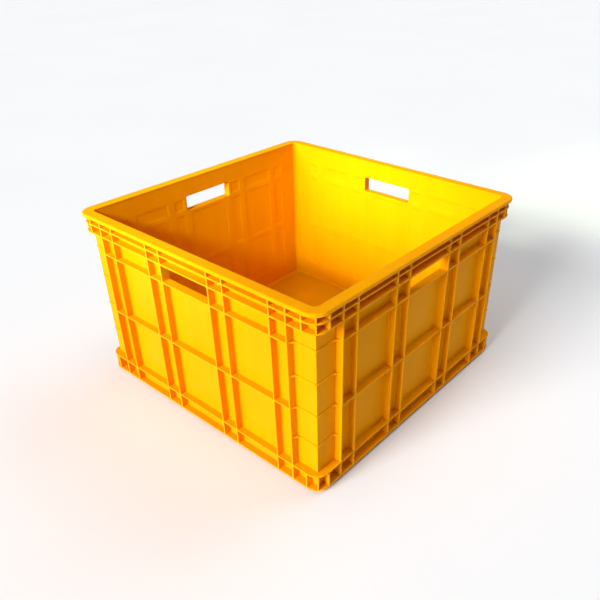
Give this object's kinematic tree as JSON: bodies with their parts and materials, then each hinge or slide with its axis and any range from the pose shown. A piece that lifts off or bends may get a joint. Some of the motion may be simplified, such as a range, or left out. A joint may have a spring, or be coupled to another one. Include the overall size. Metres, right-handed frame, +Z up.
{
  "type": "stacking plastic crate",
  "caption": "Square open-top stacking crate in ribbed moulded plastic, with a rolled rim, a base ring and a hand hole in every wall.",
  "frame": {"origin": "centre of the bottom of the stacking foot, on the surface the crate stands on", "axes": "+Z up out of the open top; +X and +Y square to the walls, -Y towards the wall named front"},
  "size_m": [0.6, 0.6, 0.36],
  "materials": {
    "crate_plastic": "satin as-moulded surface"
  },
  "bodies": {
    "root": {"floor_panel": "crate_plastic", "front_base_rail": "crate_plastic", "front_grip_panel": "crate_plastic", "front_left_base_corner": "crate_plastic", "front_left_corner_post": "crate_plastic", "front_left_end_column": "crate_plastic", "front_left_grip_column": "crate_plastic", "front_left_panel": "crate_plastic", "front_left_rim_corner": "crate_plastic", "front_right_base_corner": "crate_plastic", "front_right_corner_post": "crate_plastic", "front_right_end_column": "crate_plastic", "front_right_grip_column": "crate_plastic", "front_right_panel": "crate_plastic", "front_right_rim_corner": "crate_plastic", "front_rim_rail": "crate_plastic", "left_base_rail": "crate_plastic", "left_grip_panel": "crate_plastic", "left_left_end_column": "crate_plastic", "left_left_grip_column": "crate_plastic", "left_left_panel": "crate_plastic", "left_right_end_column": "crate_plastic", "left_right_grip_column": "crate_plastic", "left_right_panel": "crate_plastic", "left_rim_rail": "crate_plastic", "rear_base_rail": "crate_plastic", "rear_grip_panel": "crate_plastic", "rear_left_base_corner": "crate_plastic", "rear_left_corner_post": "crate_plastic", "rear_left_end_column": "crate_plastic", "rear_left_grip_column": "crate_plastic", "rear_left_panel": "crate_plastic", "rear_left_rim_corner": "crate_plastic", "rear_right_base_corner": "crate_plastic", "rear_right_corner_post": "crate_plastic", "rear_right_end_column": "crate_plastic", "rear_right_grip_column": "crate_plastic", "rear_right_panel": "crate_plastic", "rear_right_rim_corner": "crate_plastic", "rear_rim_rail": "crate_plastic", "right_base_rail": "crate_plastic", "right_grip_panel": "crate_plastic", "right_left_end_column": "crate_plastic", "right_left_grip_column": "crate_plastic", "right_left_panel": "crate_plastic", "right_right_end_column": "crate_plastic", "right_right_grip_column": "crate_plastic", "right_right_panel": "crate_plastic", "right_rim_rail": "crate_plastic", "stacking_foot": "crate_plastic", "underside_grid": "crate_plastic"}
  },
  "joints": []
}
